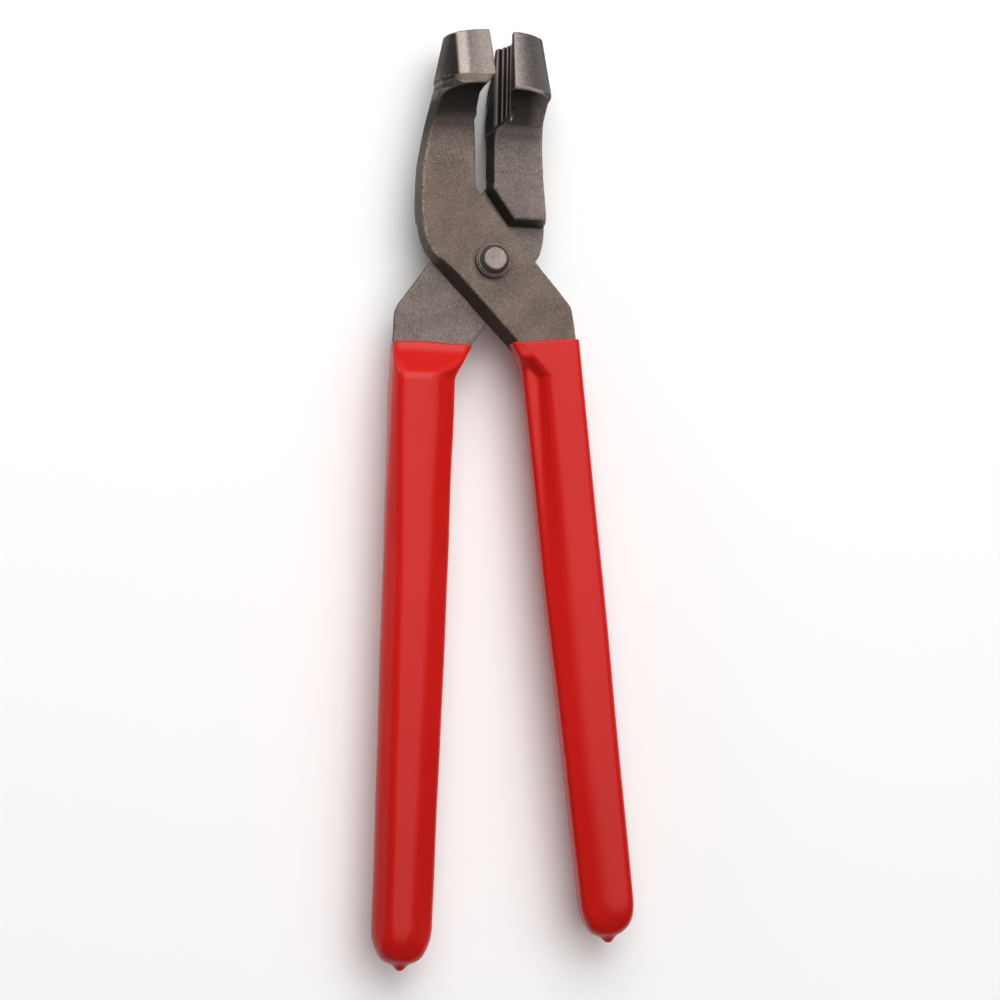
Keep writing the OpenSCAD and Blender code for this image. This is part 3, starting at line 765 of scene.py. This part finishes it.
# Finishes. Sizes are in mm; a pair named From or To is where a change starts and ends.
# the dark scale colour also serves as painted shade on walls, under the heads and at the cones' sides; the wall,
# crease and valley colours are painted shade, and the light cone band is a painted highlight
forged = {"dark": (0.068, 0.049, 0.039), "light": (0.262, 0.201, 0.163), "scale": (0.026, 0.020, 0.016),
          "worn": (0.42, 0.34, 0.28), "crest": (0.37, 0.31, 0.27), "valleyShade": (0.006, 0.005, 0.004),
          "wall": (0.05, 0.04, 0.034), "creaseShade": (0.012, 0.009, 0.008), "paintedHighlight": (0.74, 0.67, 0.61),
          "ground": (0.262, 0.221, 0.20), "grain": 0.36, "patch": 9.0, "mottle": 0.45, "polish": 0.4,
          # band is the strength of the painted highlight round the cone; sides is where the painted side shade starts
          # and ends
          "band": 0.85, "highlightFrom": (0.44, 0.62), "highlightTo": (0.93, 0.82), "sides": (0.85, 0.97), "paintedSideShade": 1.0,
          "steepFrom": (0.80, 0.35), "grooveFrom": (0.12, 0.5), "marksFrom": (0.35, 0.7), "marksScale": (900, 1700, 900),
          "metallic": 0.3, "roughness": 0.56, "groundRoughness": 0.42, "specular": 0.3}
greyer = {"dark": (0.085, 0.065, 0.058), "light": (0.300, 0.240, 0.215), "ground": (0.235, 0.204, 0.19),
          "band": 0.0, "sides": (0.2, 0.8), "paintedSideShade": 0.92, "mottle": 0.4, "polish": 0.75}
# the rivet's side colour is painted shade, darker than its top
rivetSteel = {"side": (0.115, 0.098, 0.088), "top": (0.255, 0.205, 0.185), "pit": (0.03, 0.025, 0.02),
              "roughness": 0.45, "metallic": 0.6}
vinyl = {"red": (0.56, 0.0095, 0.006), "deep": (0.50, 0.0075, 0.005), "shadedLow": (0.47, 0.0065, 0.004),
         "shadedLowFrom": (-30, -130), "dust": (0.62, 0.07, 0.055), "roughness": 0.27, "specular": 0.2}


def newTree(name):
    material = bpy.data.materials.new(name)
    material.use_nodes = True
    tree = material.node_tree
    return material, tree, tree.nodes["Principled BSDF"]


def add(tree, kind, settings=None, **inputs):
    # a node with its settings and inputs; an input is a value or another node's
    # socket, and goes by its name or, as i0, by its number
    node = tree.nodes.new(kind)
    for key, value in (settings or {}).items():
        setattr(node, key, value)
    for key, value in inputs.items():
        slot = node.inputs[int(key[1:])] if key[0] == "i" and key[1:].isdigit() else node.inputs[key.replace("_", " ")]
        if isinstance(value, bpy.types.NodeSocket):
            tree.links.new(value, slot)
        elif isinstance(value, tuple) and len(value) == 3 and slot.type == "RGBA":
            slot.default_value = value + (1,)
        else:
            slot.default_value = value
    return node


def calc(tree, operation, a, b=0.0):
    return add(tree, "ShaderNodeMath", {"operation": operation}, i0=a, i1=b).outputs[0]


def ramp(tree, value, low, high):
    # rises smoothly from 0 at low to 1 at high
    smooth = {"interpolation_type": "SMOOTHSTEP"}
    return add(tree, "ShaderNodeMapRange", smooth, Value=value, From_Min=low, From_Max=high).outputs[0]


def blend(tree, factor, a, b):
    return add(tree, "ShaderNodeMix", {"data_type": "RGBA"}, i0=factor, i6=a, i7=b).outputs[2]


def group(name, inputs, outputs, build):
    # an effect with named inputs and outputs, used by more than one finish
    tree = bpy.data.node_groups.new(name, "ShaderNodeTree")
    for label, kind, value in inputs:
        socket = tree.interface.new_socket(label, in_out="INPUT", socket_type="NodeSocket" + kind)
        if value is not None:
            socket.default_value = value
    for label, kind in outputs:
        tree.interface.new_socket(label, in_out="OUTPUT", socket_type="NodeSocket" + kind)
    entry, leave = tree.nodes.new("NodeGroupInput"), tree.nodes.new("NodeGroupOutput")
    for label, socket in build(tree, entry.outputs).items():
        tree.links.new(socket, leave.inputs[label])
    return tree


def buildGrain(tree, given):
    # sand-like grain of a surface, its pits, and slow patches
    frequency = calc(tree, "DIVIDE", 1.0, given["Grain Size"])

    def texture(kind, scale, **more):
        return add(tree, "ShaderNodeTex" + kind, Vector=given["Vector"], Scale=scale, **more).outputs[0]

    fine = texture("Noise", frequency, Detail=3.0, Roughness=0.65)
    coarse = texture("Noise", calc(tree, "MULTIPLY", frequency, 0.36), Detail=2.0)
    cells = texture("Voronoi", calc(tree, "MULTIPLY", frequency, 0.55))
    slow = texture("Noise", calc(tree, "DIVIDE", 1.0, given["Patch Size"]), Detail=3.0)
    grain = calc(tree, "ADD", calc(tree, "MULTIPLY", fine, 0.8), calc(tree, "MULTIPLY", coarse, 0.2))
    pits = calc(tree, "MULTIPLY", ramp(tree, cells, 0.28, 0.08), ramp(tree, coarse, 0.45, 0.62))
    return {"Grain": ramp(tree, grain, 0.36, 0.64), "Pits": pits, "Patches": ramp(tree, slow, 0.35, 0.65)}


grainGroup = group("forgedGrain", [("Vector", "Vector", None), ("Grain Size", "Float", 0.4 * mm),
                                   ("Patch Size", "Float", 9 * mm)],
                   [("Grain", "Float"), ("Pits", "Float"), ("Patches", "Float")], buildGrain)


def buildWearAndShade(tree, given):
    # where an outward fold is rubbed bare, broken up by the grain, and where a crease gets painted shade
    fold = ramp(tree, given["Bend"], 0.35, 1.5)
    broken = calc(tree, "MULTIPLY", fold, ramp(tree, given["Grain"], 0.30, 0.75))
    return {"Worn": calc(tree, "MULTIPLY", broken, given["Amount"]), "Crease Shade": ramp(tree, given["Bend"], -0.35, -1.4)}


wearAndShadeGroup = group("edgeWearAndCreaseShade", [("Bend", "Float", 0.0), ("Grain", "Float", 0.5), ("Amount", "Float", 1.0)],
                  [("Worn", "Float"), ("Crease Shade", "Float")], buildWearAndShade)


def place(tree, effect, **inputs):
    return add(tree, "ShaderNodeGroup", {"node_tree": effect}, **inputs).outputs


def mask(tree, name):
    return add(tree, "ShaderNodeAttribute", {"attribute_name": name}).outputs["Fac"]


def flatness(tree):
    # 1 on faces that look straight up or down, 0 on upright walls
    normal = add(tree, "ShaderNodeNewGeometry").outputs["Normal"]
    return calc(tree, "ABSOLUTE", add(tree, "ShaderNodeSeparateXYZ", Vector=normal).outputs["Z"])


def shades(colour, low, high):
    return tuple(low * v for v in colour), tuple(high * v for v in colour)


def forgedFinish(name, f):
    material, tree, shader = newTree(name)

    def times(a, b):
        return calc(tree, "MULTIPLY", a, b)

    def less(a, b):
        return calc(tree, "SUBTRACT", a, b)

    where = add(tree, "ShaderNodeTexCoord").outputs["Object"]
    effect = place(tree, grainGroup, Vector=where, Grain_Size=f["grain"] * mm, Patch_Size=f["patch"] * mm)
    grain, pits = effect["Grain"], effect["Pits"]
    wearAndShade = place(tree, wearAndShadeGroup, Bend=mask(tree, "bend"), Grain=grain, Amount=1.0)
    steep = ramp(tree, flatness(tree), *f["steepFrom"])
    ground, teeth, soot, outer = (mask(tree, which) for which in ("ground", "teeth", "soot", "outer"))
    # turning marks run round the cones, so they are lines of one height
    stretched = add(tree, "ShaderNodeMapping", Vector=where, Scale=f["marksScale"]).outputs[0]
    marks = add(tree, "ShaderNodeTexNoise", Detail=2.0, Scale=1.0, Vector=stretched).outputs[0]

    tone = calc(tree, "ADD", times(grain, 0.8), times(effect["Patches"], 0.2))
    face = blend(tree, tone, f["dark"], f["light"])
    face = blend(tree, times(pits, 0.75), face, f["scale"])
    # painted shade on the walls, lighter on their outermost strip
    wallShade = times(steep, less(0.92, times(outer, 0.45)))
    face = blend(tree, wallShade, face, blend(tree, grain, f["scale"], f["wall"]))
    # painted shade with soot under the heads and at their backs, where nothing rubs
    face = blend(tree, times(soot, 0.97), face, blend(tree, grain, *shades(f["scale"], 0.1, 0.3)))
    # painted shade in creases
    face = blend(tree, times(wearAndShade["Crease Shade"], 0.75), face, f["creaseShade"])
    machined = blend(tree, ramp(tree, marks, *f["marksFrom"]), *shades(f["ground"], 0.86, 1.14))
    # a painted highlight band round the cone, then painted shade towards the cone's sides
    turn = calc(tree, "ADD", mask(tree, "turn"), times(less(grain, 0.5), 0.05))
    band = times(ramp(tree, turn, *f["highlightFrom"]), ramp(tree, turn, *f["highlightTo"]))
    machined = blend(tree, times(band, f["band"]), machined, f["paintedHighlight"])
    # painted shade towards the cone's sides
    side = times(ramp(tree, turn, *f["sides"]), f["paintedSideShade"])
    machined = blend(tree, side, machined, tuple(0.4 * v for v in f["scale"]))
    machined = blend(tree, times(less(1.0, grain), f["mottle"]), machined, f["scale"])
    face = blend(tree, times(ground, 0.95), face, machined)
    face = blend(tree, mask(tree, "rim"), face, blend(tree, grain, f["light"], f["worn"]))
    # lighter crests, and painted shade in the grooves between them
    toothed = blend(tree, ramp(tree, mask(tree, "groove"), *f["grooveFrom"]), f["crest"], f["valleyShade"])
    face = blend(tree, teeth, face, toothed)
    # folds are rubbed bare along the outer side and on the teeth, and not under the soot and painted shade
    rubbed = calc(tree, "ADD", times(outer, 0.6), 0.22)
    rubbed = calc(tree, "MAXIMUM", rubbed, times(teeth, 0.9))
    rubbed = times(rubbed, less(1.0, times(soot, 0.8)))
    face = blend(tree, times(wearAndShade["Worn"], rubbed), face, f["worn"])
    tree.links.new(face, shader.inputs["Base Color"])

    shader.inputs["Specular IOR Level"].default_value = f["specular"]
    tree.links.new(calc(tree, "ADD", times(ground, 0.5), f["metallic"]), shader.inputs["Metallic"])
    rough = calc(tree, "ADD", times(grain, 0.16), f["roughness"])
    rough = less(rough, times(ground, f["roughness"] + 0.08 - f["groundRoughness"]))
    tree.links.new(rough, shader.inputs["Roughness"])
    height = times(less(grain, times(pits, 1.2)), less(1.0, times(ground, f["polish"])))
    height = calc(tree, "ADD", height, times(times(marks, ground), 0.5))
    bump = add(tree, "ShaderNodeBump", Height=height, Strength=0.8, Distance=0.07 * mm).outputs[0]
    tree.links.new(bump, shader.inputs["Normal"])
    return material


def rivetFinish(f):
    material, tree, shader = newTree("rivetSteel")
    where = add(tree, "ShaderNodeTexCoord").outputs["Object"]
    effect = place(tree, grainGroup, Vector=where, Grain_Size=0.45 * mm, Patch_Size=3 * mm)
    grain = effect["Grain"]
    tone = blend(tree, grain, *shades(f["top"], 0.75, 1.25))
    # the sides painted darker than the flat top, as painted shade
    side = blend(tree, grain, tuple(0.5 * v for v in f["side"]), f["side"])
    face = blend(tree, ramp(tree, flatness(tree), 0.80, 0.97), side, tone)
    face = blend(tree, calc(tree, "MULTIPLY", effect["Pits"], 0.6), face, f["pit"])
    tree.links.new(face, shader.inputs["Base Color"])
    shader.inputs["Metallic"].default_value = f["metallic"]
    rough = calc(tree, "ADD", calc(tree, "MULTIPLY", effect["Patches"], 0.15), f["roughness"])
    tree.links.new(rough, shader.inputs["Roughness"])
    bump = add(tree, "ShaderNodeBump", Height=grain, Strength=0.6, Distance=0.06 * mm).outputs[0]
    tree.links.new(bump, shader.inputs["Normal"])
    return material


def vinylFinish(f):
    material, tree, shader = newTree("dippedVinyl")
    where = add(tree, "ShaderNodeTexCoord").outputs["Object"]
    slow = add(tree, "ShaderNodeTexNoise", Vector=where, Scale=1 / (14 * mm), Detail=2.0).outputs[0]
    dust = place(tree, grainGroup, Vector=where, Grain_Size=0.6 * mm, Patch_Size=20 * mm)["Pits"]
    colour = blend(tree, ramp(tree, slow, 0.3, 0.7), f["deep"], f["red"])
    colour = blend(tree, 0.65, colour, f["red"])
    # painted shade darkens the lower ends
    along = add(tree, "ShaderNodeSeparateXYZ", Vector=where).outputs["Y"]
    colour = blend(tree, ramp(tree, along, *(v * mm for v in f["shadedLowFrom"])), colour, f["shadedLow"])
    colour = blend(tree, calc(tree, "MULTIPLY", dust, 0.10), colour, f["dust"])
    tree.links.new(colour, shader.inputs["Base Color"])
    shader.inputs["Roughness"].default_value = f["roughness"]
    shader.inputs["Specular IOR Level"].default_value = f["specular"]
    return material


frontForging.data.materials.append(forgedFinish("brownForgedSteel", forged))
backForging.data.materials.append(forgedFinish("greyForgedSteel", {**forged, **greyer}))
redFinish = vinylFinish(vinyl)
leftSleeve.data.materials.append(redFinish)
rightSleeve.data.materials.append(redFinish)
hammeredRivet = makeRivet(rivet, rivetFinish(rivetSteel))
print("finishes made")

# Stage: a plain pale floor and soft studio light, each light as (name, place, aim, size, power)
studio = {"floorColour": (0.90, 0.895, 0.89), "floorRoughness": 0.8, "world": 0.17,
          "lights": [("keyLight", (-0.02, 0.95, 1.14), (0, 0, 0), 1.3, 14.5),
                     ("overheadLight", (0.38, 0.35, 1.56), (0, 0, 0), 2.0, 21),
                     ("stripLight", (-0.89, 0.83, 0.38), (0, 0.12, 0.015), 0.3, 2.0)]}
bpy.context.scene.view_settings.view_transform = "Standard"


def makeStage(s):
    mesh = bpy.data.meshes.new("floor")
    mesh.from_pydata([(-4, -4, 0), (4, -4, 0), (4, 4, 0), (-4, 4, 0)], [], [(0, 1, 2, 3)])
    floor = bpy.data.objects.new("floor", mesh)
    bpy.context.scene.collection.objects.link(floor)
    paint = bpy.data.materials.new("paleFloor")
    paint.use_nodes = True
    shader = paint.node_tree.nodes["Principled BSDF"]
    shader.inputs["Base Color"].default_value = s["floorColour"] + (1,)
    shader.inputs["Roughness"].default_value = s["floorRoughness"]
    mesh.materials.append(paint)
    world = bpy.data.worlds.new("softRoom")
    world.use_nodes = True
    world.node_tree.nodes["Background"].inputs["Color"].default_value = (1, 1, 1, 1)
    world.node_tree.nodes["Background"].inputs["Strength"].default_value = s["world"]
    bpy.context.scene.world = world
    for name, place, aim, size, power in s["lights"]:
        data = bpy.data.lights.new(name, "AREA")
        data.shape, data.size, data.energy = "SQUARE", size, power
        light = bpy.data.objects.new(name, data)
        light.location = place
        light.rotation_euler = (Vector(aim) - Vector(place)).to_track_quat("-Z", "Y").to_euler()
        bpy.context.scene.collection.objects.link(light)


makeStage(studio)
